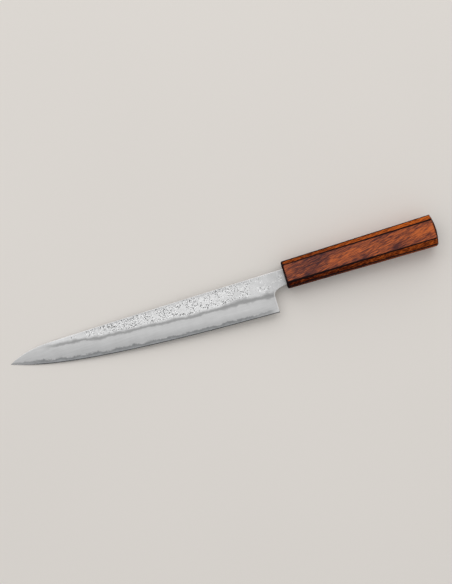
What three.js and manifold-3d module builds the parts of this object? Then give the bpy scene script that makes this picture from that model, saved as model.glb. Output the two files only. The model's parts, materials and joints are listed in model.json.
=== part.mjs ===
// A sujihiki, the long slim slicing knife of a Japanese kitchen. The blade is three layers of steel, a hard core
// between two softer claddings, and its tang is bedded in resin in the slot of a one-piece octagonal wooden handle.
// Millimetres. The knife lies on its side: tip towards -X, butt towards +X, spine towards +Y, left face up.

import * as THREE from "three";
import { mergeVertices } from "three/addons/utils/BufferGeometryUtils.js";
import Module from "manifold-3d";

// Blade outline, drawn with X = 0 on the handle's front face and Y = 0 on the handle's axis
const bladeLength = 240; // straight, from the heel's corner to the tip
const heelGap = 12.9; // from the heel's back edge to the handle
const heelDepth = 29.9; // heel's corner below the axis
const tipDepth = 5.6; // tip below the axis
const edgeTipAngle = 18.9; // degrees, slope of the cutting edge at the tip
const edgeTipTension = 0.1; // share of the edge that keeps to that slope
const edgeHeelAngle = 1.4; // degrees, slope of the cutting edge at the heel
const edgeHeelTension = 0.75; // share of the edge that keeps to that slope
const spineHeight = 5.6; // spine above the axis at the handle
const spineCrown = 0.4; // how far the spine bows up between the handle and its drop to the tip
const tipDropLength = 38; // length of the spine's drop to the tip
const tipDropHeight = 3.4; // spine above the axis where the drop starts
const tipDropTension = 0.6; // share of the drop that stays close to the spine
const choilDepth = 15.5; // depth at which the heel's back edge starts to curve into the neck
const choilTension = 4.5; // reach of that curve up the back edge
const neckTension = 8.5; // reach of that curve along the neck
const neckFlare = 7; // degrees, slope of the neck's underside at the handle
const neckDepth = 8; // neck's underside below the axis, at the handle

// Blade section
const spineThickness = 2.2; // at the handle
const tipThickness = 0.9; // where the taper of the spine would end, at the tip
const flatAngle = 0.3; // degrees, lean of each flat towards the edge
const bevelHeight = 17.9; // from the cutting edge up to the shinogi, the line between bevel and flat
const shoulderWidth = 3; // height of the rounded shoulder just under the shinogi
const shoulderDrop = 0.18; // how far the shoulder falls below the flat
const tipFlatAngle = 3.7; // degrees, between the shinogi and the spine near the tip
const tipFlatLength = 50; // how far from the tip they part at that angle
const shinogiBlend = 1.6; // rounding where the shinogi turns to follow the spine
const tipBevelAngle = 2.9; // degrees, steepest each bevel gets as the tip thins
const edgeThickness = 0.24; // behind the sharpened edge
const sharpenedHeight = 0.7; // height of the sharpened edge
const cornerEase = 0.25; // eased corners of the spine, heel and neck

// Core steel, laid bare along the edge by the bevels
const coreThickness = 0.5; // at the handle
const coreTipSpare = 0.06; // core's thickness at the tip, beyond the edge's
const coreRipple = 0.045; // share by which forging made the core uneven

// Hand grinding and forging leave slow waves in the shinogi and the core: height or share, length, start in degrees
const shinogiWaves = [
  { size: 0.37, length: 79, start: -55 },
  { size: 0.3, length: 29, start: -106 },
];
const coreWaves = [
  { size: 0.8, length: 31, start: 13 },
  { size: 1, length: 16.5, start: -53 },
];

// Tang
const tangLength = 92; // inside the handle
const tangEndTop = 2.2; // top of the tang's end above the axis
const tangEndDepth = 3.6; // bottom of the tang's end below the axis
const tangEndThickness = 1.6;

// Handle
const handleLength = 138;
const frontHeight = 23.6;
const buttHeight = 27.2;
const frontWidth = 18.4;
const buttWidth = 22;
const frontChamfer = 3.8; // leg of the 45 degree corner facets, at the front
const buttChamfer = 5; // and at the butt
const frontEase = 0.8; // eased rim of the front face
const buttRadius = 44; // radius of the domed butt
const buttRound = 2; // rounding of the butt's rim
const rimTurn = 62; // degrees it turns before it runs straight on into the dome

// Slot, resin bedding and mouth seal
const slotMargin = 1.2; // slot wall to tang, all round
const slotEndRoom = 4; // slot past the tang's end
const sealDepth = 3; // mouth seal, from the front face inwards
const bondGap = 0.15; // between resin and what it holds

// Facets
const tipRibs = 5; // ribs of the bare core at the tip
const bladeRibs = 70; // ribs from there to the heel
const neckRibs = 22; // ribs round the heel and along the neck
const tangRibs = 4;
const domeSegments = 48; // round the domed butt
const domeSteps = 10; // from its rim to its middle
const roundSteps = 4; // across the rounding of the butt's rim
const overcut = 1; // how far a cutting solid stands proud of the face it enters

const { clamp, degToRad, lerp, smoothstep } = THREE.MathUtils;

const wasm = await Module();
wasm.setup();

// Outline curves

const heel = new THREE.Vector2(-heelGap, -heelDepth);
const bladeReach = Math.sqrt(bladeLength ** 2 - (heelDepth - tipDepth) ** 2);
const tip = new THREE.Vector2(heel.x - bladeReach, -tipDepth);
const neckFoot = new THREE.Vector2(0, -neckDepth);
const neckTop = new THREE.Vector2(0, spineHeight);
const dropStart = new THREE.Vector2(tip.x + tipDropLength, tipDropHeight);

function along(angle, distance) {
  return new THREE.Vector2(Math.cos(degToRad(angle)), Math.sin(degToRad(angle))).multiplyScalar(distance);
}

function edgeCurve() {
  const fromTip = along(-edgeTipAngle, edgeTipTension * bladeReach).add(tip);
  const intoHeel = along(180 - edgeHeelAngle, edgeHeelTension * bladeReach).add(heel);
  return new THREE.CubicBezierCurve(tip, fromTip, intoHeel, heel);
}

function choilCurve() {
  const start = new THREE.Vector2(heel.x, -choilDepth);
  const upBackEdge = along(90, choilTension).add(start);
  const alongNeck = along(180 + neckFlare, neckTension).add(neckFoot);
  return new THREE.CubicBezierCurve(start, upBackEdge, alongNeck, neckFoot);
}

function spineCurve() {
  const middle = dropStart.clone().lerp(neckTop, 0.5);
  middle.y += 2 * spineCrown;
  return new THREE.QuadraticBezierCurve(dropStart, middle, neckTop);
}

// The drop leaves the spine in line with it
function tipDropCurve() {
  const bend = spine.getTangent(0).multiplyScalar(-tipDropTension * tipDropLength).add(dropStart);
  return new THREE.QuadraticBezierCurve(tip, bend, dropStart);
}

function joined(...curves) {
  const path = new THREE.CurvePath();
  curves.forEach((curve) => path.add(curve));
  return path;
}

const edge = edgeCurve();
const choil = choilCurve();
const spine = spineCurve();
const tipDrop = tipDropCurve();
const lowerOutline = joined(edge, new THREE.LineCurve(heel, choil.v0), choil);
const upperOutline = joined(tipDrop, spine);

// Height of a curve at x, where the curve runs steadily towards +X
function heightOn(curve, x) {
  const share = crossing({ at: (t) => curve.getPoint(t) }, (point) => point.x - x);
  return curve.getPoint(share).y;
}

// Share of a run at which a rising measure of its points reaches zero
function crossing(run, measure) {
  let low = 0;
  let high = 1;
  if (measure(run.at(low)) >= 0) {
    return low;
  }
  if (measure(run.at(high)) <= 0) {
    return high;
  }
  while (high - low > 1e-9) {
    const middle = (low + high) / 2;
    if (measure(run.at(middle)) < 0) {
      low = middle;
    } else {
      high = middle;
    }
  }
  return high;
}

// Thickness of the blade

function waveAt(waves, x) {
  const swing = ({ size, length, start }) => size * Math.sin((2 * Math.PI * x) / length + degToRad(start));
  return waves.reduce((sum, wave) => sum + swing(wave), 0);
}

function smoothMin(a, b, blend) {
  const overlap = Math.max(blend - Math.abs(a - b), 0) / blend;
  return Math.min(a, b) - (overlap ** 2 * blend) / 4;
}

function shinogiAt(x) {
  const aboveEdge = heightOn(edge, x) + bevelHeight + waveAt(shinogiWaves, x);
  const top = x < dropStart.x ? tipDrop : spine;
  const belowSpine = Math.tan(degToRad(tipFlatAngle)) * Math.min(x - tip.x, tipFlatLength);
  return smoothMin(aboveEdge, heightOn(top, x) - belowSpine, shinogiBlend);
}

// Half thickness of the flats: a plane on each side, thinned near the tip, and tapered along the tang
function flatHalf(x, y) {
  const taper = (spineThickness - tipThickness) / 2 / -tip.x;
  const lean = Math.tan(degToRad(flatAngle)) * (spineHeight - y);
  const plane = spineThickness / 2 + taper * Math.min(x, 0) - lean;
  const tangTaper = (spineThickness - tangEndThickness) / 2 / tangLength;
  const tipLimit = edgeThickness / 2 + Math.tan(degToRad(tipBevelAngle)) * (y - heightOn(edge, x));
  return Math.min(plane, tipLimit) - tangTaper * Math.max(x, 0);
}

// Half thickness of the bevels: straight up from the edge, with the rounded shoulder under the shinogi
function bevelHalf(x, y, shinogi) {
  const foot = heightOn(edge, x);
  const rise = Math.max(shinogi - foot, sharpenedHeight);
  const full = Math.min(rise / bevelHeight, 1);
  const drop = shoulderDrop * full;
  const behindEdge = edgeThickness / 2;
  const straight = lerp(behindEdge, flatHalf(x, foot + rise) - drop, (y - foot) / rise);
  return straight + drop * smoothstep(y, foot + rise - shoulderWidth * full, foot + rise);
}

function halfThickness({ x, y }) {
  const shinogi = shinogiAt(x);
  if (y >= shinogi) {
    return flatHalf(x, y);
  }
  const sharpened = clamp((y - heightOn(edge, x)) / sharpenedHeight, 0, 1);
  const ground = Math.max(y, heightOn(edge, x) + sharpenedHeight);
  return bevelHalf(x, ground, shinogi) * sharpened;
}

function coreHalf({ x }) {
  const even = lerp(coreThickness, edgeThickness + coreTipSpare, clamp(x / tip.x, 0, 1)) / 2;
  return even * (1 + coreRipple * waveAt(coreWaves, x));
}

function claddingWall(point) {
  return halfThickness(point) - coreHalf(point);
}

// Ribs run from the lower outline up to the spine, at equal shares of both, and then along the tang

function makeRib(foot, head) {
  return { at: (t) => foot.clone().lerp(head, t), length: foot.distanceTo(head) };
}

function outlineRib(share) {
  return makeRib(lowerOutline.getPoint(share), upperOutline.getPoint(share));
}

function tangTop(x) {
  return lerp(spineHeight, tangEndTop, x / tangLength);
}

function tangBottom(x) {
  return -lerp(neckDepth, tangEndDepth, x / tangLength);
}

function tangHalf(x) {
  return lerp(spineThickness, tangEndThickness, x / tangLength) / 2;
}

function tangRib(x) {
  return makeRib(new THREE.Vector2(x, tangBottom(x)), new THREE.Vector2(x, tangTop(x)));
}

// Evenly spaced values after from, up to and with to
function spread(from, to, count) {
  return Array.from({ length: count }, (unused, index) => lerp(from, to, (index + 1) / count));
}

const claddingStart = crossing({ at: (share) => upperOutline.getPoint(share) }, claddingWall);
const heelShare = edge.getLength() / lowerOutline.getLength();
const tipShares = [0, ...spread(0, claddingStart, tipRibs)];
const bodyShares = [...spread(claddingStart, heelShare, bladeRibs), ...spread(heelShare, 1, neckRibs)];
const bareRibs = tipShares.slice(0, -1).map(outlineRib);
const cladRibs = [claddingStart, ...bodyShares].map(outlineRib).concat(spread(0, tangLength, tangRibs).map(tangRib));

// Blade pieces

// Point of the core's left side at share t of a rib; it is also the inner side of the cladding there
function coreSide(rib, t) {
  const point = rib.at(t);
  return new THREE.Vector3(point.x, point.y, Math.min(halfThickness(point), coreHalf(point)));
}

function outerSide(rib, t, ease = 0) {
  const point = rib.at(t);
  return new THREE.Vector3(point.x, point.y, halfThickness(point) - ease);
}

function mirrored(points) {
  return points.map((point) => new THREE.Vector3(point.x, point.y, -point.z)).reverse();
}

function coreEmerges(rib) {
  return crossing(rib, claddingWall);
}

function coreSection(rib) {
  const emerges = coreEmerges(rib);
  const sharpened = crossing(rib, (point) => point.y - heightOn(edge, point.x) - sharpenedHeight);
  const left = [0, Math.min(sharpened, emerges), emerges, 1].map((t) => coreSide(rib, t));
  return [...left, ...mirrored(left)];
}

function claddingSection(rib) {
  const bottom = coreEmerges(rib);
  const bottomEase = Math.min(cornerEase, claddingWall(rib.at(bottom)) / 2);
  const topEase = Math.min(cornerEase, claddingWall(rib.at(1)) / 2);
  const low = bottom + bottomEase / rib.length;
  const high = 1 - topEase / rib.length;
  const shoulder = crossing(rib, (point) => point.y - shinogiAt(point.x) + shoulderWidth);
  const shinogi = crossing(rib, (point) => point.y - shinogiAt(point.x));
  const shoulderSteps = [0, 1 / 3, 2 / 3, 1].map((step) => clamp(lerp(shoulder, shinogi, step), low, high));
  return [
    coreSide(rib, bottom),
    outerSide(rib, bottom, bottomEase),
    ...[low, ...shoulderSteps, high].map((t) => outerSide(rib, t)),
    outerSide(rib, 1, topEase),
    coreSide(rib, 1),
  ];
}

// Closed skin through sections of equal point counts. A section that shrinks to a point closes its own end.
function loft(sections) {
  const corners = [];
  for (let index = 1; index < sections.length; index++) {
    const near = sections[index - 1];
    const far = sections[index];
    near.forEach((point, side) => {
      const next = (side + 1) % near.length;
      // The diagonal climbs towards the far section on both sides of a shared face, so that the two faces match
      if (point.y < near[next].y) {
        corners.push(point, far[side], far[next], point, far[next], near[next]);
      } else {
        corners.push(point, far[side], near[next], near[next], far[side], far[next]);
      }
    });
  }
  const first = sections[0];
  const last = sections[sections.length - 1];
  for (let side = 2; side < first.length; side++) {
    corners.push(first[0], first[side - 1], first[side]);
    corners.push(last[0], last[side], last[side - 1]);
  }
  return welded(new THREE.BufferGeometry().setFromPoints(corners));
}

// Shared vertices merged, and faces that shrank to nothing left out
function welded(geometry) {
  const positions = new THREE.BufferGeometry();
  positions.setAttribute("position", geometry.getAttribute("position"));
  positions.setIndex(geometry.getIndex());
  const merged = mergeVertices(positions);
  const index = merged.getIndex().array;
  const kept = [];
  for (let face = 0; face < index.length; face += 3) {
    const [a, b, c] = index.slice(face, face + 3);
    if (a !== b && b !== c && c !== a) {
      kept.push(a, b, c);
    }
  }
  merged.setIndex(kept);
  return merged;
}

function coreSteel() {
  return loft([...bareRibs, ...cladRibs].map(coreSection));
}

function leftCladding() {
  return loft(cladRibs.map(claddingSection));
}

function rightCladding() {
  return loft(cladRibs.map((rib) => mirrored(claddingSection(rib))));
}

// Handle pieces

function toSolid(geometry) {
  const mesh = welded(geometry);
  const vertProperties = mesh.getAttribute("position").array;
  const triVerts = Uint32Array.from(mesh.getIndex().array);
  return new wasm.Manifold(new wasm.Mesh({ numProp: 3, vertProperties, triVerts }));
}

function toGeometry(solid) {
  const { vertProperties, triVerts } = solid.getMesh();
  const geometry = new THREE.BufferGeometry();
  geometry.setAttribute("position", new THREE.BufferAttribute(vertProperties, 3));
  geometry.setIndex(new THREE.BufferAttribute(triVerts, 1));
  return geometry;
}

// Eight-sided section across the handle at x, drawn in from its real size by inset
function octagon(x, inset) {
  const share = x / handleLength;
  const height = lerp(frontHeight, buttHeight, share) / 2 - inset;
  const width = lerp(frontWidth, buttWidth, share) / 2 - inset;
  const chamfer = lerp(frontChamfer, buttChamfer, share) - inset * (2 - Math.SQRT2);
  const corner = [
    new THREE.Vector3(x, height, width - chamfer),
    new THREE.Vector3(x, height - chamfer, width),
  ];
  const upper = [...corner, ...corner.map(({ y, z }) => new THREE.Vector3(x, -y, z)).reverse()];
  return [...upper, ...mirrored(upper)].reverse();
}

// Rounded end that the butt is shaped to: a ball's cap on a cylinder about the handle's axis
function buttDome() {
  const clearRadius = Math.hypot(buttHeight, buttWidth) / 2;
  const centre = handleLength - buttRadius;
  const profile = new THREE.Path();
  profile.moveTo(0, -overcut);
  profile.lineTo(clearRadius, -overcut);
  profile.absarc(0, centre, buttRadius, Math.acos(clearRadius / buttRadius), Math.PI / 2);
  const geometry = new THREE.LatheGeometry(profile.getPoints(domeSteps), domeSegments);
  return geometry.rotateZ(-Math.PI / 2);
}

// Sections of the butt's rim: a rounding from the handle's sides to the dome, then straight on past the dome
function buttRim() {
  const ballGap = (buttHeight + buttWidth) / 4 - buttRound;
  const start = handleLength - buttRadius + Math.sqrt((buttRadius - buttRound) ** 2 - ballGap ** 2);
  const rounding = (angle) => ({
    x: start + buttRound * Math.sin(degToRad(angle)),
    inset: buttRound * (1 - Math.cos(degToRad(angle))),
  });
  const turned = rounding(rimTurn);
  const inset = Math.min(buttHeight, buttWidth) / 4;
  const past = { x: turned.x + (inset - turned.inset) / Math.tan(degToRad(rimTurn)), inset };
  const steps = [0, ...spread(0, rimTurn, roundSteps)].map(rounding);
  return [...steps, past].map((step) => octagon(step.x, step.inset));
}

// Four-sided body round the tang, from x to x, standing off the tang by margin
function tangSleeve(fromX, toX, margin) {
  const section = (x) => {
    const top = tangTop(x) + margin;
    const bottom = tangBottom(x) - margin;
    const left = [
      new THREE.Vector3(x, bottom, tangHalf(x) + margin),
      new THREE.Vector3(x, top, tangHalf(x) + margin),
    ];
    return [...left, ...mirrored(left)];
  };
  return loft([section(fromX), section(toX)]);
}

const slotEnd = tangLength + slotEndRoom;
const resinMargin = slotMargin - bondGap;

function handleBody() {
  const sections = [octagon(0, frontEase), octagon(frontEase, 0), ...buttRim()];
  const blank = toSolid(loft(sections)).intersect(toSolid(buttDome()));
  const slot = toSolid(tangSleeve(-overcut, slotEnd, slotMargin));
  return toGeometry(blank.subtract(slot));
}

function resinSleeve(fromX, toX) {
  const outside = toSolid(tangSleeve(fromX, toX, resinMargin));
  const tangSpace = toSolid(tangSleeve(-overcut, tangLength + bondGap, bondGap));
  return toGeometry(outside.subtract(tangSpace));
}

function tangBedding() {
  return resinSleeve(sealDepth + bondGap, slotEnd - bondGap);
}

function mouthSeal() {
  return resinSleeve(0, sealDepth);
}

// Assembly

const coreFinish = { color: 0x8f9397, roughness: 0.3, metalness: 1 };
const claddingFinish = { color: 0xc2c5c8, roughness: 0.45, metalness: 1 };
const woodFinish = { color: 0x7a4230, roughness: 0.25, metalness: 0 };
const beddingFinish = { color: 0xb59a63, roughness: 0.4, metalness: 0 };
const sealFinish = { color: 0x2c1a14, roughness: 0.5, metalness: 0 };

function piece(name, geometry, finish) {
  const mesh = new THREE.Mesh(geometry, new THREE.MeshStandardMaterial(finish));
  mesh.name = name;
  return mesh;
}

// The blade outweighs the handle, so the knife lies on the handle's front rim and on the blade's end
function restAngle(blade) {
  const rimHalfWidth = lerp(frontWidth, buttWidth, frontEase / handleLength) / 2;
  const position = blade.geometry.getAttribute("position");
  let angle = Math.PI / 2;
  for (let vertex = 0; vertex < position.count; vertex++) {
    const lift = position.getZ(vertex) + rimHalfWidth;
    angle = Math.min(angle, Math.atan2(lift, frontEase - position.getX(vertex)));
  }
  return angle;
}

const core = piece("core_steel", coreSteel(), coreFinish);
const rightFace = piece("right_cladding", rightCladding(), claddingFinish);
const knife = new THREE.Group();
knife.add(
  core,
  piece("left_cladding", leftCladding(), claddingFinish),
  rightFace,
  piece("handle_body", handleBody(), woodFinish),
  piece("tang_bedding", tangBedding(), beddingFinish),
  piece("mouth_seal", mouthSeal(), sealFinish),
);
knife.rotation.y = -Math.min(restAngle(core), restAngle(rightFace));

const rest = new THREE.Group();
rest.add(knife);
const bounds = new THREE.Box3().setFromObject(rest, true);
const middle = bounds.getCenter(new THREE.Vector3());
knife.position.set(-middle.x, -middle.y, -bounds.min.z);

export default rest;
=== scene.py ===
import json
import math

import bmesh
import bpy
from mathutils import Matrix, Vector, noise
from mathutils.bvhtree import BVHTree


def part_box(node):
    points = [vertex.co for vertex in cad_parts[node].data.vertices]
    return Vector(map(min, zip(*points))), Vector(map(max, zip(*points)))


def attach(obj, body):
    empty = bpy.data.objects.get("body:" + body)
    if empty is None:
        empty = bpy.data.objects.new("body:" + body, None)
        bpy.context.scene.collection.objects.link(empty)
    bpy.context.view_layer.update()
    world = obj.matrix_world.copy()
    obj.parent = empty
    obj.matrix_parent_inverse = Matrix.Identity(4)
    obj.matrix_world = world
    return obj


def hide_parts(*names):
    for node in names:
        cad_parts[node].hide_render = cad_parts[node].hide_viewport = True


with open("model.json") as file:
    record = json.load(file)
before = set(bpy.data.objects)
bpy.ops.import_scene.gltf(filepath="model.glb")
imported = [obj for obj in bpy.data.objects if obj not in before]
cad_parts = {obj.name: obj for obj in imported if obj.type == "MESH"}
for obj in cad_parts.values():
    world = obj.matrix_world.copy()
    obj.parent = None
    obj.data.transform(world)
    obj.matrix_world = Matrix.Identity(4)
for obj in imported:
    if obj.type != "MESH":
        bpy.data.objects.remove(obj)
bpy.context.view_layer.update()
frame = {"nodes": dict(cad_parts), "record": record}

mm = 0.001  # the script counts in millimetres where it says so, Blender in metres
sameCorner = 0.001 * mm  # corners closer than this are one corner
uncut = 1  # m, longer than any edge of the knife


# Small tools

# sRGB hex code to linear colour
def linear(hexColour):
    shares = [int(hexColour[i:i + 2], 16) / 255 for i in (1, 3, 5)]
    return [s / 12.92 if s <= 0.04045 else ((s + 0.055) / 1.055) ** 2.4 for s in shares] + [1]


def dimmed(colour, share):
    return [share * c for c in colour[:3]] + [1]


# adds a node, sets its properties, its ramp stops, and links or fills its inputs
def addNode(tree, kind, settings=None, inputs=None, stops=None):
    node = tree.nodes.new(kind)
    for name, value in (settings or {}).items():
        setattr(node, name, value)
    if stops:
        ramp = node.color_ramp.elements
        ramp.remove(ramp[1])
        for place, colour in stops[1:]:
            ramp.new(place).color = colour
        ramp[0].position, ramp[0].color = stops[0]
    for name, value in (inputs or {}).items():
        if isinstance(value, bpy.types.NodeSocket):
            tree.links.new(value, node.inputs[name])
        else:
            node.inputs[name].default_value = value
    return node


def newMaterial(name):
    material = bpy.data.materials.new(name)
    material.use_nodes = True
    tree = material.node_tree
    tree.nodes.clear()
    return material, tree, addNode(tree, "ShaderNodeTexCoord").outputs["Object"]


def finishMaterial(tree, inputs):
    shader = addNode(tree, "ShaderNodeBsdfPrincipled", inputs=inputs)
    addNode(tree, "ShaderNodeOutputMaterial", inputs={"Surface": shader.outputs["BSDF"]})


def mix(ends, share):
    return ends[0] + (ends[1] - ends[0]) * share


def smooth(value, low, high):
    share = min(max((value - low) / (high - low), 0), 1)
    return share * share * (3 - 2 * share)


# copy of a CAD node's mesh with its loose triangles merged, and room for measures that the materials read
def copyOf(nodeName, measures=()):
    bm = bmesh.new()
    bm.from_mesh(frame["nodes"][nodeName].data)
    for measure in measures:
        bm.verts.layers.float.new(measure)
    bmesh.ops.remove_doubles(bm, verts=bm.verts[:], dist=sameCorner)
    bm.normal_update()
    return bm


def treeOf(nodeName):
    bm = copyOf(nodeName)
    tree = BVHTree.FromBMesh(bm)
    bm.free()
    return tree


# halves edges until none is longer than the pitch wanted there
def refine(bm, pitchAt):
    while True:
        tooLong = [edge for edge in bm.edges if edge.calc_length() > pitchAt(edge)]
        if not tooLong:
            return
        bmesh.ops.subdivide_edges(bm, edges=tooLong, cuts=1, use_grid_fill=True)
        bm.normal_update()


def finishPiece(bm, name, node, materials, sharpAngle):
    mesh = bpy.data.meshes.new(name)
    bm.to_mesh(mesh)
    bm.free()
    for material in materials:
        mesh.materials.append(material)
    mesh.shade_smooth()
    mesh.set_sharp_from_angle(angle=math.radians(sharpAngle))
    piece = bpy.data.objects.new(name, mesh)
    bpy.context.scene.collection.objects.link(piece)
    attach(piece, "root")
    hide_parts(node)
    print(f"{name}: {len(mesh.polygons)} faces")


# Camera, at the photograph's viewing angle

camera = {
    "elevation": 83.61,  # degrees above the floor
    "azimuth": -8.91,  # degrees round from looking along +Y
    "roll": -7.75,  # degrees
    "distance": 1300,  # mm from the aim
    "aim": (3.9, 8.65, 10),  # mm
    "lens": 91.89,  # mm, on Blender's 36 mm sensor
}


def makeCamera():
    elevation, azimuth, roll = (math.radians(camera[k]) for k in ("elevation", "azimuth", "roll"))
    back = Vector((
        math.sin(azimuth) * math.cos(elevation),
        -math.cos(azimuth) * math.cos(elevation),
        math.sin(elevation),
    ))
    turn = back.to_track_quat("Z", "Y").to_matrix() @ Matrix.Rotation(roll, 3, "Z")
    data = bpy.data.cameras.new("photoCamera")
    data.lens = camera["lens"]
    eye = bpy.data.objects.new("photoCamera", data)
    place = (Vector(camera["aim"]) + back * camera["distance"]) * mm
    eye.matrix_world = Matrix.Translation(place) @ turn.to_4x4()
    bpy.context.scene.collection.objects.link(eye)
    bpy.context.scene.camera = eye


makeCamera()
print("camera set")


# Floor and light

studio = {
    "floorColour": "#ece7e1",
    "floorSize": 8,  # m, half the side
    "mottle": 3,  # faint clouds per metre of floor
    "mottleShare": 0.98,  # of the colour, where they are darkest
    "sky": "#ffffff",
    "zenith": 0.8,  # brightness straight above
    "horizon": 0.25,
    "keyPower": 26,  # W
    "keySize": (4.2, 2.8),  # m
    "keyPlace": (0.3, 1.55, 1.55),  # m, beyond the spine's side
}


def makeFloor():
    # plain painted floor: matte, one even pale colour, only faintly mottled
    material, tree, coords = newMaterial("palePaintedFloor")
    mottle = addNode(tree, "ShaderNodeTexNoise", inputs={"Vector": coords, "Scale": studio["mottle"]})
    tint = linear(studio["floorColour"])
    colour = addNode(tree, "ShaderNodeValToRGB", inputs={"Fac": mottle.outputs["Fac"]}, stops=[
        (0.3, dimmed(tint, studio["mottleShare"])),
        (0.7, tint),
    ])
    finishMaterial(tree, {
        "Base Color": colour.outputs["Color"],
        "Roughness": 0.9,
        "Specular IOR Level": 0.2,
    })
    bm = bmesh.new()
    bmesh.ops.create_grid(bm, x_segments=1, y_segments=1, size=studio["floorSize"])
    mesh = bpy.data.meshes.new("floor")
    bm.to_mesh(mesh)
    bm.free()
    mesh.materials.append(material)
    floor = bpy.data.objects.new("floor", mesh)
    bpy.context.scene.collection.objects.link(floor)


def makeLamp():
    data = bpy.data.lights.new("key", "AREA")
    data.shape = "RECTANGLE"
    data.energy = studio["keyPower"]
    data.size, data.size_y = studio["keySize"]
    lamp = bpy.data.objects.new("key", data)
    lamp.location = studio["keyPlace"]
    lamp.rotation_euler = lamp.location.to_track_quat("Z", "Y").to_euler()
    bpy.context.scene.collection.objects.link(lamp)


def makeSky():
    # a bright ceiling that falls off towards the walls
    world = bpy.data.worlds.new("studioSky")
    world.use_nodes = True
    tree = world.node_tree
    tree.nodes.clear()
    toward = addNode(tree, "ShaderNodeTexCoord").outputs["Generated"]
    height = addNode(tree, "ShaderNodeSeparateXYZ", inputs={"Vector": toward})
    strength = addNode(tree, "ShaderNodeMapRange", inputs={
        "Value": height.outputs["Z"], "To Min": studio["horizon"], "To Max": studio["zenith"],
    })
    sky = addNode(tree, "ShaderNodeBackground", inputs={
        "Color": linear(studio["sky"]),
        "Strength": strength.outputs["Result"],
    })
    addNode(tree, "ShaderNodeOutputWorld", inputs={"Surface": sky.outputs["Background"]})
    bpy.context.scene.world = world


makeFloor()
makeLamp()
makeSky()
bpy.context.scene.view_settings.view_transform = "Standard"
print("studio lit")


# Steel finishes

# what each vertex of the claddings and of the core tells the materials
claddingMeasures = ("aboveShinogi", "aboveCore", "coreShows", "pit", "forged", "fromRim", "bright")
coreMeasures = ("aboveCore", "coreShows", "edgeShadeShows")

steel = {
    "bevel": "#d2d2d2",
    # painted shade: the shoulder's dark tone, where its steeper slope turns away from the light
    "shoulderShade": "#acacac",
    "lip": "#d2d2d2",  # where the shoulder meets the flat
    "flat": "#e5e5e5",
    # painted highlight: the white glint drawn on the raised burrs round the pits
    "pit": "#262627",
    "burrAndGlint": "#ffffff",
    "core": "#898a8b",
    "coreLow": "#a2a4a6",  # nearer to the edge
    # painted shade: the dark line along the cutting edge
    "honedShade": "#58595a",
    # also mixed into the flats next to the spine and heel, partly as their polish, partly as a painted
    # highlight
    "rim": "#f2f2f2",
    "roughness": 0.32,  # of the flats, the bevels and the core
    "rimRoughness": (0.18, 0.32),
    "rimLines": 0.8,  # mm, size of the marks that the belt left
    "edgeRoughness": (0.15, 0.35),
    "edgeScratches": 0.6,  # mm
}
weld = {
    "rag": 3.2,  # mm, size of the ragged waves that forging left in the line between core and cladding
    "rise": 3.4,  # mm by which they move it
    "blur": (1.1, 2.4),  # mm above the core, over which its colour ends
    "cloud": 2.4,  # mm, size of the clouds in the core's colour
    "drift": 4,  # mm by which they move its lower tone
    "depth": (1.4, -1.2),  # mm above the core's line, where the lower tone begins and is full
}
# the band of painted shade along the shoulder
shoulderShade = {
    "waver": 5,  # mm, size of the waves that uneven grinding left in the shoulder
    "rise": 3,  # mm by which they move it
    "swell": 7,  # mm along which it gets wider and narrower
    "squeeze": (0.65, 1.35),  # what heights are multiplied by where it is widest and narrowest
    "usualNoise": (0.35, 0.65),  # a noise seldom leaves this range
    "span": 5,  # mm above and below the shinogi that the tones cover
    # the dark tones at the shoulder are painted shade
    "tones": [  # mm above the shinogi, and the colour there
        (-3.2, "bevel"),
        (-2, "shoulderShade"),
        (-1.1, "shoulderShade"),
        (0.2, "lip"),
        (1.6, "flat"),
    ],
}
satin = {
    "marks": (30, 0.8),  # mm, length and width of the rubbing marks, really 0.2 mm wide, drawn wider to show
    "cloud": 6,  # mm, size of the soft clouds on all faces
    "cloudShare": 0.4,
    "grain": 0.9,  # mm, forge grain on the flats, really 0.3 mm and drawn coarser to show
    "flatEdge": (-0.5, 1),  # mm above the shinogi, over which marks give way to grain
    "swing": (0.36, 0.55),  # how far the shade moves, on the bevel and on the flat
    "middle": 0.99,  # shade that it moves about
    "relief": (0.05, 0.45),  # strength of the bump on the bevel, and how much more it is on the flat
    "reliefHeight": 0.1,  # mm
    "dullReach": 7,  # mm above the core, up to where the bevel is duller
    "dullBy": 0.35,
    "polishAndHighlightReach": (0.3, 1),  # mm from the rim, over which its polish and painted highlight end
    "polishAndHighlightBy": 0.55,
}


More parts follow.
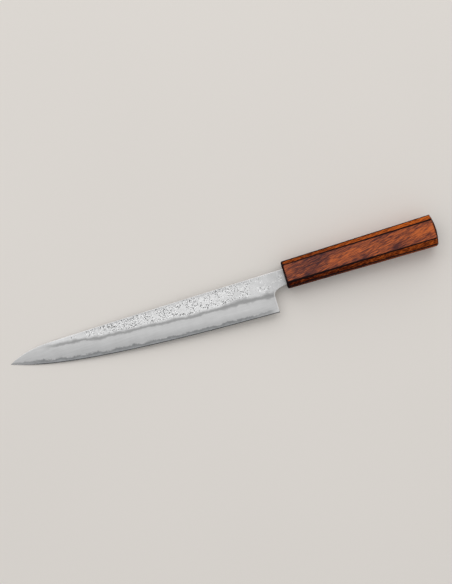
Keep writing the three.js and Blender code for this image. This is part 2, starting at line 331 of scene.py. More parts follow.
# lays the core's colour over another one up to the weld line, which forging left ragged
def withCore(tree, coords, aboveCore, coreShows, other):
    ragged = addNode(tree, "ShaderNodeTexNoise", inputs={
        "Vector": coords, "Scale": 1 / (weld["rag"] * mm), "Detail": 5, "Roughness": 0.65,
    })
    shifted = addNode(tree, "ShaderNodeMath", {"operation": "MULTIPLY_ADD"}, {
        0: ragged.outputs["Fac"], 1: weld["rise"], 2: aboveCore,
    })
    blurFrom, blurTo = weld["blur"]
    share = addNode(tree, "ShaderNodeMapRange", {"interpolation_type": "SMOOTHSTEP"}, {
        "Value": shifted.outputs["Value"],
        "From Min": blurFrom,
        "From Max": blurTo,
        "To Min": coreShows,
        "To Max": 0,
    })
    cloud = addNode(tree, "ShaderNodeTexNoise", inputs={
        "Vector": coords, "Scale": 1 / (weld["cloud"] * mm), "Detail": 3,
    })
    drift = addNode(tree, "ShaderNodeMath", {"operation": "MULTIPLY_ADD"}, {
        0: cloud.outputs["Fac"], 1: weld["drift"], 2: aboveCore,
    })
    lowFrom, lowTo = weld["depth"]
    depth = addNode(tree, "ShaderNodeMapRange", inputs={
        "Value": drift.outputs["Value"], "From Min": lowFrom, "From Max": lowTo,
    })
    tone = addNode(tree, "ShaderNodeValToRGB", inputs={"Fac": depth.outputs["Result"]}, stops=[
        (0, linear(steel["core"])),
        (1, linear(steel["coreLow"])),
    ])
    return addNode(tree, "ShaderNodeMix", {"data_type": "RGBA"}, {
        "Factor": share.outputs["Result"], 6: other, 7: tone.outputs["Color"],
    }).outputs[2]


# colour from the bevel over the shoulder to the flat, with painted shade on the shoulder
def shinogiShadeTone(tree, coords, above):
    waver = addNode(tree, "ShaderNodeTexNoise", inputs={
        "Vector": coords, "Scale": 1 / (shoulderShade["waver"] * mm), "Detail": 4, "Roughness": 0.65,
    })
    height = addNode(tree, "ShaderNodeMath", {"operation": "MULTIPLY_ADD"}, {
        0: waver.outputs["Fac"], 1: shoulderShade["rise"], 2: above,
    })
    swell = addNode(tree, "ShaderNodeTexNoise", inputs={
        "Vector": coords, "Scale": 1 / (shoulderShade["swell"] * mm), "Detail": 3,
    })
    noiseLow, noiseHigh = shoulderShade["usualNoise"]
    widest, narrowest = shoulderShade["squeeze"]
    squeeze = addNode(tree, "ShaderNodeMapRange", inputs={
        "Value": swell.outputs["Fac"],
        "From Min": noiseLow,
        "From Max": noiseHigh,
        "To Min": widest,
        "To Max": narrowest,
    })
    squeezed = addNode(tree, "ShaderNodeMath", {"operation": "MULTIPLY"}, {
        0: height.outputs["Value"], 1: squeeze.outputs["Result"],
    })
    middle, span = shoulderShade["rise"] / 2, shoulderShade["span"]
    zone = addNode(tree, "ShaderNodeMapRange", inputs={
        "Value": squeezed.outputs["Value"], "From Min": middle - span, "From Max": middle + span,
    })
    return addNode(tree, "ShaderNodeValToRGB", inputs={"Fac": zone.outputs["Result"]}, stops=[
        (0.5 + place / (2 * span), linear(steel[name])) for place, name in shoulderShade["tones"]
    ]).outputs["Color"]


# light and dark of the rubbing marks on the bevel, of the grain on the flat, and of clouds on both
def satinShade(tree, coords, above, onFlat, grain):
    length, width = satin["marks"]
    rubbing = addNode(tree, "ShaderNodeMapping", {"vector_type": "TEXTURE"}, {
        "Vector": coords, "Scale": (length * mm, width * mm, width * mm),
    })
    marks = addNode(tree, "ShaderNodeTexNoise", inputs={
        "Vector": rubbing.outputs["Vector"], "Scale": 1, "Detail": 3,
    })
    cloud = addNode(tree, "ShaderNodeTexNoise", inputs={
        "Vector": coords, "Scale": 1 / (satin["cloud"] * mm), "Detail": 4,
    })
    fine = addNode(tree, "ShaderNodeMix", {"data_type": "FLOAT"}, {
        "Factor": onFlat, 2: marks.outputs["Fac"], 3: grain,
    })
    uneven = addNode(tree, "ShaderNodeMix", {"data_type": "FLOAT"}, {
        "Factor": satin["cloudShare"], 2: fine.outputs[0], 3: cloud.outputs["Fac"],
    })
    evened = addNode(tree, "ShaderNodeMath", {"operation": "SUBTRACT"}, {0: uneven.outputs[0], 1: 0.5})
    edgeLow, edgeHigh = satin["flatEdge"]
    onBevel, onTheFlat = satin["swing"]
    swing = addNode(tree, "ShaderNodeMapRange", inputs={
        "Value": above,
        "From Min": edgeLow,
        "From Max": edgeHigh,
        "To Min": onBevel,
        "To Max": onTheFlat,
    })
    return addNode(tree, "ShaderNodeMath", {"operation": "MULTIPLY_ADD"}, {
        0: evened.outputs["Value"], 1: swing.outputs["Result"], 2: satin["middle"],
    }).outputs["Value"]


def pearSkinSteel():
    # soft cladding steel: flats left from the forge, pale and finely pitted, with painted highlights on the
    # burrs round the pits, then a rounded shoulder drawn dark with painted shade, then bevels ground and
    # rubbed lengthwise to an even satin, and a painted highlight mixed with the polish next to the spine and
    # heel
    material, tree, coords = newMaterial("forgedAndGroundCladding")
    above, aboveCore, coreShows, pit, forged, fromRim, bright = (
        addNode(tree, "ShaderNodeAttribute", {"attribute_name": name}).outputs["Fac"]
        for name in claddingMeasures
    )
    plain = addNode(tree, "ShaderNodeMix", {"data_type": "RGBA"}, {
        "Factor": forged, 6: linear(steel["bevel"]), 7: shinogiShadeTone(tree, coords, above),
    })
    grain = addNode(tree, "ShaderNodeTexNoise", inputs={
        "Vector": coords, "Scale": 1 / (satin["grain"] * mm), "Detail": 4, "Roughness": 0.7,
    }).outputs["Fac"]
    edgeLow, edgeHigh = satin["flatEdge"]
    onFlat = addNode(tree, "ShaderNodeMapRange", inputs={
        "Value": above, "From Min": edgeLow, "From Max": edgeHigh,
    }).outputs["Result"]
    level = addNode(tree, "ShaderNodeMath", {"operation": "MULTIPLY"}, {
        0: satinShade(tree, coords, above, onFlat, grain), 1: bright,
    })
    shaded = addNode(tree, "ShaderNodeVectorMath", {"operation": "SCALE"}, {
        0: plain.outputs[2], "Scale": level.outputs["Value"],
    })

    # the bevel is duller just above the core, where the stones rub hardest
    dull = addNode(tree, "ShaderNodeMapRange", {"interpolation_type": "SMOOTHSTEP"}, {
        "Value": aboveCore,
        "From Min": 0,
        "From Max": satin["dullReach"],
        "To Min": satin["dullBy"],
        "To Max": 0,
    })
    dulled = addNode(tree, "ShaderNodeMath", {"operation": "MULTIPLY"}, {
        0: dull.outputs["Result"], 1: coreShows,
    })
    # painted highlight: share of the white glint on the burrs
    burrAndGlint = addNode(tree, "ShaderNodeMath", {"operation": "MULTIPLY", "use_clamp": True}, {0: pit, 1: -1})
    # next to the spine and heel the rim's colour brightens the flat: partly polish, partly a painted
    # highlight
    polishFrom, polishTo = satin["polishAndHighlightReach"]
    polishAndHighlight = addNode(tree, "ShaderNodeMapRange", inputs={
        "Value": fromRim,
        "From Min": polishFrom,
        "From Max": polishTo,
        "To Min": satin["polishAndHighlightBy"],
        "To Max": 0,
    })
    colour = shaded.outputs["Vector"]
    for share, over in (
        (dulled.outputs["Value"], "core"),
        (burrAndGlint.outputs["Value"], "burrAndGlint"),
        (pit, "pit"),
        (polishAndHighlight.outputs["Result"], "rim"),
    ):
        colour = addNode(tree, "ShaderNodeMix", {"data_type": "RGBA"}, {
            "Factor": share, 6: colour, 7: linear(steel[over]),
        }).outputs[2]

    least, more = satin["relief"]
    relief = addNode(tree, "ShaderNodeMath", {"operation": "MULTIPLY_ADD"}, {0: onFlat, 1: more, 2: least})
    bump = addNode(tree, "ShaderNodeBump", inputs={
        "Strength": relief.outputs["Value"], "Distance": satin["reliefHeight"] * mm, "Height": grain,
    })
    finishMaterial(tree, {
        "Base Color": withCore(tree, coords, aboveCore, coreShows, colour),
        "Metallic": 1,
        "Roughness": steel["roughness"],
        "Normal": bump.outputs["Normal"],
    })
    return material


def polishedRimSteel():
    # spine, heel and choil: rounded on a belt and polished, so they catch the light as a fine bright line
    material, tree, coords = newMaterial("beltPolishedRim")
    lines = addNode(tree, "ShaderNodeTexNoise", inputs={
        "Vector": coords, "Scale": 1 / (steel["rimLines"] * mm), "Detail": 2,
    })
    least, most = steel["rimRoughness"]
    rough = addNode(tree, "ShaderNodeMapRange", inputs={
        "Value": lines.outputs["Fac"], "To Min": least, "To Max": most,
    })
    finishMaterial(tree, {
        "Base Color": linear(steel["rim"]),
        "Metallic": 1,
        "Roughness": rough.outputs["Result"],
    })
    return material


def stonePolishedCore():
    # hard core steel rubbed on fine stones: closer and darker than the cladding, cloudy along the weld line
    material, tree, coords = newMaterial("stonePolishedCore")
    aboveCore, coreShows = (
        addNode(tree, "ShaderNodeAttribute", {"attribute_name": name}).outputs["Fac"]
        for name in coreMeasures[:2]
    )
    finishMaterial(tree, {
        "Base Color": withCore(tree, coords, aboveCore, coreShows, linear(steel["bevel"])),
        "Metallic": 1,
        "Roughness": steel["roughness"],
    })
    return material


def honedEdgeSteel():
    # the sharpened edge: a fine stone leaves it smooth, with scratches that make its gloss uneven; its dark
    # colour is painted shade along the cutting edge
    material, tree, coords = newMaterial("honedEdge")
    scratches = addNode(tree, "ShaderNodeTexNoise", inputs={
        "Vector": coords, "Scale": 1 / (steel["edgeScratches"] * mm), "Detail": 2,
    })
    least, most = steel["edgeRoughness"]
    rough = addNode(tree, "ShaderNodeMapRange", inputs={
        "Value": scratches.outputs["Fac"], "To Min": least, "To Max": most,
    })
    shows = addNode(tree, "ShaderNodeAttribute", {"attribute_name": "edgeShadeShows"}).outputs["Fac"]
    colour = addNode(tree, "ShaderNodeMix", {"data_type": "RGBA"}, {
        "Factor": shows, 6: linear(steel["bevel"]), 7: linear(steel["honedShade"]),
    })
    finishMaterial(tree, {
        "Base Color": colour.outputs[2],
        "Metallic": 1,
        "Roughness": rough.outputs["Result"],
    })
    return material


claddingSteel = pearSkinSteel()
rimSteel = polishedRimSteel()
coreSteel = stonePolishedCore()
edgeSteel = honedEdgeSteel()
print("steel finishes mixed")


# Blade

# places along it are in mm from the tip; four of them say where something begins, is full, thins and ends
blade = {
    "flatPitch": 0.28,  # mm, mesh size on the pitted flats
    "facePitch": 1.3,  # mm, on the bevels
    "corePitch": 0.9,  # mm, on the bare core
    "bare": 0.02,  # mm off the claddings, past which the core is bare
    "rimTilt": 35,  # degrees off the flat, past which a face belongs to the spine, heel or choil
    "heelTurn": 0.7,  # share of a face's normal along the blade, past which it belongs to the heel
    "cuttingAngle": 120,  # degrees, turn of the surface at the cutting edge
    "sharpAngle": 24,  # degrees
    "joinBend": 5,  # degrees, most bend between two triangles that become one face
    "joinSkew": 70,  # degrees, most that its corners may be off square
    "tipGap": 6,  # where the search for the shinogi starts
    "column": 1.5,  # mm between places where it is looked for
    "columns": 154,
    "lookStep": 0.1,  # mm
    "spineEase": 0.6,  # mm, kept clear of the spine's corner
    "shinogiFall": 0.006,  # mm below the flat
    "coverSlope": 0.03,  # by which the cladding thickens above the core's line
    "tipCore": 1.2,  # mm by which the core reaches higher at the tip
    "tipCoreReach": (12, 45),  # over which that ends
    "coreFades": [  # over which the core's own colour fades, and by how much
        (32, 14, 0.22),
        (14, 3, 0.2),
        (212, 222, 0.25),
        (229, 238, 0.75),
    ],
    "edgeShadeFades": [(30, 5, 0.6)],  # over which the painted shade on the honed edge fades, and by how much
    "forged": (28, 46, 242, 256),  # the forged skin
    "neckSkin": 0.35,  # share of that skin that is left on the neck
    "neckSkinReach": (150, 200),  # over which that share begins
    "spineSoft": 0.4,  # mm by which the polish and painted highlight next to the spine are narrower than next to the heel
    "spineDull": 0.27,  # how much darker the flats are next to the spine
    "spineShade": (58, 88, 205, 235),  # where they are so
    "spineReach": (0.5, 3.5),  # mm under the spine, over which that ends
    "spineFoot": (0, 1),  # mm above the shinogi, over which it begins
    "flatEdge": (-2, 0),  # mm above the shinogi, over which the bevel's shades give way to the flat's
    "shades": [  # where the steel is lighter or darker, and by how much on the flat and on the bevel
        {"reach": (12, 28, 46, 60), "flat": 0, "bevel": 0.045},
        {"reach": (40, 70, 110, 150), "flat": -0.055, "bevel": 0},
        {"reach": (180, 215, 400, 410), "flat": -0.12, "bevel": 0},
        {"reach": (222, 250, 400, 410), "flat": -0.17, "bevel": -0.17},
    ],
    "wide": [  # where the painted shade of the shoulder, and all else measured from the shinogi, is drawn wider, by how much, and how much higher it lies in mm
        {"reach": (188, 202, 212, 222), "by": 0.35, "lift": 0.9},
        {"reach": (224, 233, 246, 252), "by": 0.4, "lift": 0.3},
    ],
}
pearSkin = {
    "reach": (66, 72, 180, 276),  # where there are pits
    "dense": (100, 150, 0.2),  # up to where they lie closer, over which that ends, and by how much
    "faint": (100, 140, 180, 215),  # outside which they look paler
    "faintShade": (0.82, 0.68),  # how dark they are there, towards the tip and towards the heel
    "clump": (9, 5),  # mm, along and up the blade
    "clumpNoise": (0.8, 2, 3),  # falloff, step and number of layers of the noise that spreads them
    "clumpWeight": 0.9,
    "ragged": (0.6, 0.3),  # mm, size and depth of the notches in a pit's outline
    "notchSeed": 1,  # without a seed their noise would follow the clock
    "draw": 31,  # sets the pits' centres so far apart that each draws a size of its own
    "chance": 0.5,  # how much that size counts
    "grown": (0.6, 1.1),  # density at which a pit begins to show and is full
    "pits": [  # mm between pits, their radius and depth
        {"spacing": 1.3, "radius": 0.6, "depth": 0.1},
        {"spacing": 0.85, "radius": 0.4, "depth": 0.08},
    ],
    "wall": (0, 0.5),  # share of the radius in from the rim, over which a pit gets deep
    "deepest": 0.1,  # mm
    "burrAndGlint": 0.03,  # mm, height of the raised rim of a pit
    "burrWall": (-0.5, -0.2),  # the same for the burr, which lies outside the rim
    "overShinogi": (0.2, 1.6),  # mm above the shinogi, over which pits and burrs begin
    "underSpine": (0.3, 1),  # mm under the spine, over which they do
}
noise.seed_set(pearSkin["notchSeed"])

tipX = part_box("core_steel")[0].x
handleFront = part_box("handle_body")[0].x
coreTree = treeOf("core_steel")
flats = {mount["name"]: mount for mount in frame["record"]["mounts"]}


# height of the blade's middle plane, half way between its two flats
def coreLevel(x):
    levels = []
    for name in ("left_blade_flat", "right_blade_flat"):
        point, axis = Vector(flats[name]["pos_m"]), Vector(flats[name]["axis"])
        levels.append(point.z - (x - point.x) * axis.x / axis.z)
    return sum(levels) / 2


def spineAt(x):
    return coreTree.ray_cast(Vector((x, 1, coreLevel(x))), Vector((0, -1, 0)))[0].y


# how far a face lies towards the blade's middle, in mm
def sunkAt(tree, outward, x, y):
    return -tree.ray_cast(Vector((x, y, 0)) + outward, -outward)[0].dot(outward) / mm


# the shinogi is where the face leaves the plane of the flat, going down from the spine
def shinogiAt(tree, outward, x):
    y = spineAt(x) - blade["spineEase"] * mm
    flatLevel = sunkAt(tree, outward, x, y)
    while sunkAt(tree, outward, x, y) - flatLevel < blade["shinogiFall"]:
        y -= blade["lookStep"] * mm
    return y


# value at x of a list that has one value for each column of the blade
def between(values, x):
    place = max((x - tipX) / mm - blade["tipGap"], 0) / blade["column"]
    first = min(math.floor(place), len(values) - 2)
    return mix(values[first:first + 2], min(place - first, 1))


# rises from 0 to 1 over the first two places along the blade and falls again over the last two
def stretch(fromTip, places):
    begins, full, thins, ends = places
    return smooth(fromTip, begins, full) * (1 - smooth(fromTip, thins, ends))


# depth of the pits at a place on the flat, and height of the burrs round them, in mm; seed keeps the two
# faces from being alike
def pitDepth(fromTip, y, seed):
    along, up = pearSkin["clump"]
    clump = noise.fractal(Vector((fromTip / along, y / up, seed)), *pearSkin["clumpNoise"])
    closer, plain, gain = pearSkin["dense"]
    density = stretch(fromTip, pearSkin["reach"]) * (1 + gain - gain * smooth(fromTip, closer, plain))
    density += pearSkin["clumpWeight"] * clump
    notch, notchDepth = pearSkin["ragged"]
    place = Vector((fromTip, y, seed))
    place += noise.noise_vector(place / notch) * notchDepth
    depth = burrAndGlint = 0
    for kind in pearSkin["pits"]:
        gaps, centres = noise.voronoi(place / kind["spacing"])
        drawn = noise.cell(centres[0] * pearSkin["draw"])
        size = smooth(drawn * pearSkin["chance"] + density, *pearSkin["grown"])
        inward = 1 - gaps[0] * kind["spacing"] / kind["radius"]
        depth = max(depth, kind["depth"] * size * smooth(inward, *pearSkin["wall"]))
        burrAndGlint = max(burrAndGlint, pearSkin["burrAndGlint"] * size * smooth(inward, *pearSkin["burrWall"]))
    return depth, burrAndGlint if depth == 0 else 0


def pitShade(fromTip):
    tipFull, plain, thins, heelFull = pearSkin["faint"]
    towardsTip, towardsHeel = pearSkin["faintShade"]
    shade = mix((towardsTip, 1), smooth(fromTip, tipFull, plain))
    return shade - (1 - towardsHeel) * smooth(fromTip, thins, heelFull)


# share of a colour that shows, which is all of it except where it fades
def shown(fromTip, fades):
    return 1 - sum(share * smooth(fromTip, begins, ends) for begins, ends, share in fades)


# how much higher the core reaches near the tip, in mm
def tipRise(fromTip):
    return blade["tipCore"] * (1 - smooth(fromTip, *blade["tipCoreReach"]))


def joinTriangles(bm):
    bmesh.ops.join_triangles(
        bm, faces=bm.faces[:], cmp_materials=True,
        angle_face_threshold=math.radians(blade["joinBend"]),
        angle_shape_threshold=math.radians(blade["joinSkew"]))


def makeCladding(name, node, mountName, seed):
    bm = copyOf(node, claddingMeasures)
    above, aboveCore, coreShows, pit, forged, fromRim, bright = (
        bm.verts.layers.float[key] for key in claddingMeasures)
    outward = Vector(flats[mountName]["axis"]).normalized()
    facing = math.cos(math.radians(blade["rimTilt"]))

    def onFace(face):
        return face.normal.dot(outward) > facing

    tree = BVHTree.FromBMesh(bm)
    heelRim = [
        face for face in bm.faces
        if not onFace(face) and face.normal.dot(outward) > -facing and face.normal.x > blade["heelTurn"]
    ]
    rimTree = BVHTree.FromPolygons(
        [vert.co for face in heelRim for vert in face.verts],
        [range(3 * i, 3 * i + 3) for i in range(len(heelRim))])
    columns = [tipX + (blade["tipGap"] + i * blade["column"]) * mm for i in range(blade["columns"])]
    spines = [spineAt(x) for x in columns]
    shinogis = [shinogiAt(tree, outward, x) for x in columns]
    for face in bm.faces:
        face.material_index = 0 if onFace(face) else 1
    joinTriangles(bm)

    def pitchAt(edge):
        middle = (edge.verts[0].co + edge.verts[1].co) / 2
        if middle.x > handleFront or all(face.material_index for face in edge.link_faces):
            return uncut
        onFlat = middle.y > between(shinogis, middle.x) - blade["spineEase"] * mm
        return (blade["flatPitch"] if onFlat else blade["facePitch"]) * mm

    refine(bm, pitchAt)
    for vert in bm.verts:
        fromTip = (vert.co.x - tipX) / mm
        underSpine = (between(spines, vert.co.x) - vert.co.y) / mm
        vert[above] = (vert.co.y - between(shinogis, vert.co.x)) / mm
        for wide in blade["wide"]:
            share = stretch(fromTip, wide["reach"])
            vert[above] = (vert[above] - wide["lift"] * share) * (1 - wide["by"] * share)
        vert[aboveCore] = coreTree.find_nearest(vert.co)[3] / mm / blade["coverSlope"]
        vert[aboveCore] -= tipRise(fromTip)
        vert[coreShows] = shown(fromTip, blade["coreFades"])
        neckSkin = blade["neckSkin"] * smooth(fromTip, *blade["neckSkinReach"])
        vert[forged] = max(stretch(fromTip, blade["forged"]), neckSkin)
        fromHeel = rimTree.find_nearest(vert.co)[3] / mm
        vert[fromRim] = min(fromHeel, max(underSpine, 0) + blade["spineSoft"])
        nearSpine = smooth(vert[above], *blade["spineFoot"]) * (1 - smooth(underSpine, *blade["spineReach"]))
        nearSpine *= stretch(fromTip, blade["spineShade"])
        vert[bright] = 1 - blade["spineDull"] * nearSpine
        onFlat = smooth(vert[above], *blade["flatEdge"])
        for shade in blade["shades"]:
            vert[bright] += stretch(fromTip, shade["reach"]) * mix((shade["bevel"], shade["flat"]), onFlat)
        if vert[above] > 0 and not any(face.material_index for face in vert.link_faces):
            depth, burrAndGlint = pitDepth(fromTip, vert.co.y / mm, seed)
            inside = smooth(vert[above], *pearSkin["overShinogi"])
            inside *= smooth(underSpine, *pearSkin["underSpine"])
            # where a burr rises the measure goes negative, and the material paints a highlight there
            vert[pit] = inside * (depth / pearSkin["deepest"] * pitShade(fromTip) - burrAndGlint / pearSkin["burrAndGlint"])
            vert.co -= outward * inside * (depth - burrAndGlint) * mm
    finishPiece(bm, name, node, [claddingSteel, rimSteel], blade["sharpAngle"])


def makeCore():
    bm = copyOf("core_steel", coreMeasures)
    aboveCore, coreShows, edgeShadeShows = (bm.verts.layers.float[key] for key in coreMeasures)
    claddings = [treeOf("left_cladding"), treeOf("right_cladding")]
    cuttingEdge = [edge for edge in bm.edges if math.degrees(edge.calc_face_angle()) > blade["cuttingAngle"]]
    cuttingVerts = {vert for edge in cuttingEdge for vert in edge.verts}
    for face in bm.faces:
        face.material_index = 0 if cuttingVerts.isdisjoint(face.verts) else 1
    joinTriangles(bm)

    def bareness(place):
        return min(tree.find_nearest(place)[3] for tree in claddings) / mm

    def pitchAt(edge):
        middle = (edge.verts[0].co + edge.verts[1].co) / 2
        isBare = middle.x < handleFront and bareness(middle) > blade["bare"]
        return blade["corePitch"] * mm if isBare else uncut

    refine(bm, pitchAt)
    for vert in bm.verts:
        fromTip = (vert.co.x - tipX) / mm
        vert[aboveCore] = -bareness(vert.co) - tipRise(fromTip)
        vert[coreShows] = shown(fromTip, blade["coreFades"])
        vert[edgeShadeShows] = shown(fromTip, blade["edgeShadeFades"])
    finishPiece(bm, "coreSteel", "core_steel", [coreSteel, edgeSteel], blade["sharpAngle"])


makeCladding("leftCladding", "left_cladding", "left_blade_flat", seed=3.7)
makeCladding("rightCladding", "right_cladding", "right_blade_flat", seed=41.3)
makeCore()


# Handle

woodMeasures = ("lineGap", "cloud", "endGrain", "paintedSheen")

wood = {
    "tones": [(0.18, "#2e0c05"), (0.35, "#591c09"), (0.5, "#7e3c18"), (0.64, "#a9501e"), (0.8, "#cc6624")],
    # dark colour of the end grain, and of the painted shade along the arrises
    "line": "#1b1113",
    "lineSoft": (0.4, 1.2),  # half widths of a dark line, over which it ends
    # painted sheen on the broad facets
    "paintedSheen": "#96909a",
    "paintedSheenShare": (0.11, 0.08),  # at the front and at the butt
    "slant": 12,  # degrees by which the grain climbs towards the butt
    "streaks": [  # mm, length and width, and weight of broad streaks, narrow ones, and pores
        (34, 4, 0.35),
        (14, 1, 0.75),
        (6, 0.55, 1.4),  # really about 0.2 mm wide, drawn wider to show
    ],
    "middle": 0.5,  # tone of plain wood
    "butt": 0.07,  # how much lighter the tone gets towards the butt, and darker towards the front
    "upper": 0.07,  # painted light: how much lighter it is on the spine's side, which faces the light
    "upperReach": (-0.8, 0.9),  # half heights above the axis, over which it gets so
    "figure": [  # light and dark clouds: mm from the front, mm above the axis, half length and height, tone
        (27, 2, 15, 9, -0.13),
        (40, 7, 10, 3, -0.13),
        (46, -3, 13, 5, 0.17),
        (66, 0.5, 13, 4, 0.12),
        (69, -6, 10, 2.2, -0.17),
        (90, 7, 14, 2, -0.12),
        (101, -5, 8, 4, -0.22),
        (130, 0, 14, 4, 0.12),
        (58, 6.5, 12, 2, -0.1),
        (117, 0.5, 9, 3, 0.09),
        (126, 6, 16, 3, -0.17),
        (130, -3.8, 7, 0.7, -0.25),
        (133, 0, 7, 2.5, 0.13),
        (27, 10.5, 10, 2.5, -0.1),
        (27, -5, 8, 2.5, 0.09),
        (91, -4.5, 6, 2, 0.08),
        (47, -10.5, 12, 2.5, -0.14),
        (27, -10.5, 7, 2, 0.06),
        (92, -10.5, 12, 3, 0.07),
        (5, 2, 8, 9, 0.04),
        (75, -4, 80, 4, 0.03),
        (50, 11, 9, 2.5, 0.05),
        (132, 11, 9, 2.5, 0.03),
    ],
}


def lacqueredHardwood():
    # dense red-brown hardwood rubbed down under a thin clear lacquer: clouds of dark and orange, slanting
    # streaks and dark end grain, with painted shade along the arrises, a painted sheen on the broad facets,
    # and painted light and shade on the facets towards the spine and the heel
    material, tree, coords = newMaterial("lacqueredHardwood")
    lineGap, cloud, endGrain, paintedSheen = (
        addNode(tree, "ShaderNodeAttribute", {"attribute_name": name}).outputs["Fac"] for name in woodMeasures
    )
    tone = cloud
    for length, width, weight in wood["streaks"]:
        grain = addNode(tree, "ShaderNodeMapping", {"vector_type": "TEXTURE"}, {
            "Vector": coords,
            "Rotation": (0, 0, math.radians(wood["slant"])),
            "Scale": (length * mm, width * mm, width * mm),
        })
        streaks = addNode(tree, "ShaderNodeTexNoise", inputs={
            "Vector": grain.outputs["Vector"], "Scale": 1, "Detail": 3, "Distortion": 0.3,
        })
        evened = addNode(tree, "ShaderNodeMath", {"operation": "SUBTRACT"}, {
            0: streaks.outputs["Fac"], 1: 0.5,
        })
        tone = addNode(tree, "ShaderNodeMath", {"operation": "MULTIPLY_ADD"}, {
            0: evened.outputs["Value"], 1: weight, 2: tone,
        }).outputs["Value"]
    stained = addNode(tree, "ShaderNodeValToRGB", inputs={"Fac": tone}, stops=[
        (place, linear(hexColour)) for place, hexColour in wood["tones"]
    ])
    # painted sheen: the broad facets are drawn a little paler and greyer, for the lacquer's reflection on
    # them
    withPaintedSheen = addNode(tree, "ShaderNodeMix", {"data_type": "RGBA"}, {
        "Factor": paintedSheen, 6: stained.outputs["Color"], 7: linear(wood["paintedSheen"]),
    })
    # painted shade along the arrises
    lineFull, lineEnd = wood["lineSoft"]
    line = addNode(tree, "ShaderNodeMapRange", {"interpolation_type": "SMOOTHSTEP"}, {
        "Value": lineGap, "From Min": lineFull, "From Max": lineEnd, "To Min": 1, "To Max": 0,
    })
    darkening = addNode(tree, "ShaderNodeMath", {"operation": "MAXIMUM"}, {
        0: line.outputs["Result"], 1: endGrain,
    })
    colour = addNode(tree, "ShaderNodeMix", {"data_type": "RGBA"}, {
        "Factor": darkening.outputs["Value"], 6: withPaintedSheen.outputs[2], 7: linear(wood["line"]),
    })
    finishMaterial(tree, {
        "Base Color": colour.outputs[2],
        "Roughness": 0.5,
        "Specular IOR Level": 0,
        "Coat Weight": 0.06,
        "Coat Roughness": 0.15,
    })
    return material


handle = {
    "pitch": 1.0,  # mm, mesh size
    "sharpAngle": 30,  # degrees
    "flatBend": 0.5,  # degrees, under which neighbouring faces are one facet
    "arris": 0.3,  # mm, rounding of the long edges
    "arrisTurn": (35, 55),  # degrees, turn of the surface there
    "rim": 0.5,  # mm, rounding of the front face's rim
    "rimTurn": (30, 60),  # degrees, turn of the surface there
    "rimSharp": 40,  # degrees, turn past which its edges are rounded
    "rimDepth": 2,  # mm behind the front face
    "roundSteps": 3,
    "narrow": 0.9,  # share of a face's normal up or down, past which it is a narrow side
    # the dark lines below are painted shade along the arrises
    "rimLine": (0.85, 0.85),  # mm, half width of the dark line on the rim, at its two ends
    "upperLine": (0.74, 1.2),  # mm, on the broad facets' edges towards the spine, at the front and the butt
    "lowerLine": (1.45, 0.75),  # mm, towards the heel
    "outerLine": (1.9, 1.45),  # mm, on the edges of the narrow sides
    "endTurn": (0.08, 0.5),  # share of a face's normal along the handle, over which it darkens as end grain
    "endDark": 0.9,
    "sideTurn": (0.2, 0.6),  # share of it up or down, over which a facet is on the spine's or heel's side
    "upperLight": 0.06,  # painted light: how much lighter the wood is on the facets towards the spine, which face the light
    "lowerPaintedShade": (0.12, 0.03),  # painted shade: how much darker on the heel's side, away from the light, at the front and at the butt
    "broadTurn": (0.8, 0.95),  # share of the normal to the left or right, over which a facet is a broad one
}


# tone of the wood, from 0 dark to 1 light, with painted light on the spine's side, at a place given in mm
# from the front and above the axis
def toneWithPaintedLight(fromFront, up, length, halfHeight):
    tone = wood["middle"] + wood["butt"] * (2 * fromFront / length - 1)
    tone += wood["upper"] * smooth(up / halfHeight, *wood["upperReach"])
    turn = math.radians(wood["slant"])
    for x, y, halfLength, height, shift in wood["figure"]:
        along = (fromFront - x) * math.cos(turn) + (up - y) * math.sin(turn)
        across = (up - y) * math.cos(turn) - (fromFront - x) * math.sin(turn)
        tone += shift * math.exp(-(along / halfLength) ** 2 - (across / height) ** 2)
    return tone


def turns(edge, limits):
    low, high = limits
    return low < math.degrees(edge.calc_face_angle()) < high


def roundOff(bm, edges, offset):
    bmesh.ops.bevel(
        bm, geom=edges, affect="EDGES", offset=offset * mm, segments=handle["roundSteps"],
        profile=0.5, material=-1)


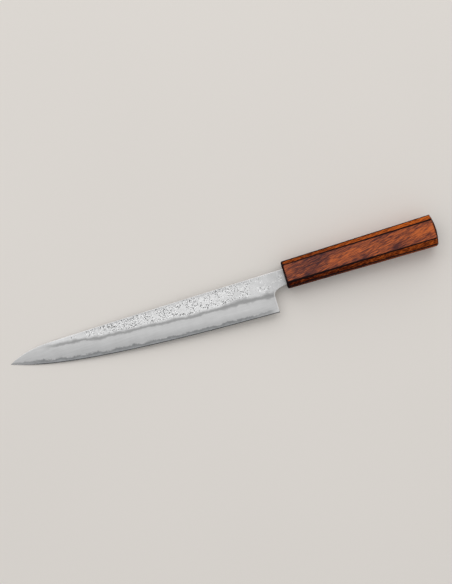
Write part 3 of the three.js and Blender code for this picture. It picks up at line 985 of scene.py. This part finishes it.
def makeHandle():
    bm = copyOf("handle_body", woodMeasures)
    bmesh.ops.dissolve_limit(
        bm, angle_limit=math.radians(handle["flatBend"]), verts=bm.verts[:], edges=bm.edges[:])
    bm.normal_update()
    low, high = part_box("handle_body")
    middle = (low + high) / 2
    length = high.x - low.x

    def isArris(edge):
        return edge.calc_length() > length / 2 and turns(edge, handle["arrisTurn"])

    def isFrontRim(edge):
        atFront = all(vert.co.x < low.x + handle["rimDepth"] * mm for vert in edge.verts)
        return atFront and turns(edge, handle["rimTurn"])

    def lineOf(edge, widths):
        start, end = sorted((vert.co.copy() for vert in edge.verts), key=lambda place: place.x)
        return start, end - start, widths

    # the lines of painted shade run along the rim and the arrises
    rim = [edge for edge in bm.edges if isFrontRim(edge)]
    lines = [lineOf(edge, handle["rimLine"]) for edge in rim]
    for edge in bm.edges:
        if isArris(edge):
            place = (edge.verts[0].co + edge.verts[1].co) / 2 - middle
            side = "lowerLine" if place.y < 0 else "upperLine"
            onNarrowSide = max(abs(face.normal.y) for face in edge.link_faces) > handle["narrow"]
            lines.append(lineOf(edge, handle["outerLine" if onNarrowSide else side]))
    sharpRim = [edge for edge in rim if math.degrees(edge.calc_face_angle()) > handle["rimSharp"]]
    roundOff(bm, sharpRim, handle["rim"])
    roundOff(bm, [edge for edge in bm.edges if isArris(edge)], handle["arris"])
    for axis in range(3):
        normal = Vector([float(i == axis) for i in range(3)])
        cuts = math.floor((high[axis] - low[axis]) / mm / handle["pitch"])
        for i in range(cuts):
            place = low + normal * (i + 0.5) * handle["pitch"] * mm
            everything = [*bm.verts, *bm.edges, *bm.faces]
            bmesh.ops.bisect_plane(bm, geom=everything, plane_co=place, plane_no=normal)
    bm.normal_update()

    # distance from a line in half widths of that line
    def gapTo(place, line):
        start, run, widths = line
        share = min(max((place - start).dot(run) / run.length_squared, 0), 1)
        return (place - start - run * share).length / mm / mix(widths, share)

    lineGap, cloud, endGrain, paintedSheen = (bm.verts.layers.float[key] for key in woodMeasures)
    for vert in bm.verts:
        share = (vert.co.x - low.x) / length
        vert[lineGap] = min(gapTo(vert.co, line) for line in lines)
        vert[cloud] = toneWithPaintedLight(
            (vert.co.x - low.x) / mm, (vert.co.y - middle.y) / mm, length / mm, (high.y - middle.y) / mm)
        # painted shade on the facets towards the heel, painted light on those towards the spine
        vert[cloud] -= mix(handle["lowerPaintedShade"], share) * smooth(-vert.normal.y, *handle["sideTurn"])
        vert[cloud] += handle["upperLight"] * smooth(vert.normal.y, *handle["sideTurn"])
        vert[endGrain] = handle["endDark"] * smooth(abs(vert.normal.x), *handle["endTurn"])
        # painted sheen on the broad facets, a little stronger at the front
        vert[paintedSheen] = mix(wood["paintedSheenShare"], share) * smooth(abs(vert.normal.z), *handle["broadTurn"])
    finishPiece(bm, "handleBody", "handle_body", [lacqueredHardwood()], handle["sharpAngle"])


makeHandle()


# Resin in the handle's slot

resin = {
    "cloud": 3,  # mm, size of its clouds
    "cloudShare": 0.7,  # of the colour, where they are darkest
    "bedding": {"colour": "#b59a63", "roughness": 0.35, "gloss": 0.5},
    "seal": {"colour": "#2c1a14", "roughness": 0.6, "gloss": 0.15},
}


def castResin(name, kind):
    # cured casting resin: cloudy, faintly uneven, softly glossy
    material, tree, coords = newMaterial(name)
    cloud = addNode(tree, "ShaderNodeTexNoise", inputs={
        "Vector": coords, "Scale": 1 / (resin["cloud"] * mm), "Detail": 3,
    })
    tint = linear(kind["colour"])
    tone = addNode(tree, "ShaderNodeValToRGB", inputs={"Fac": cloud.outputs["Fac"]}, stops=[
        (0.3, dimmed(tint, resin["cloudShare"])),
        (0.7, tint),
    ])
    finishMaterial(tree, {
        "Base Color": tone.outputs["Color"],
        "Roughness": kind["roughness"],
        "Specular IOR Level": kind["gloss"],
    })
    return material


for node, material in (
    ("tang_bedding", castResin("castAmberResin", resin["bedding"])),
    ("mouth_seal", castResin("darkSealingResin", resin["seal"])),
):
    frame["nodes"][node].data.materials.clear()
    frame["nodes"][node].data.materials.append(material)
print("resin finished")
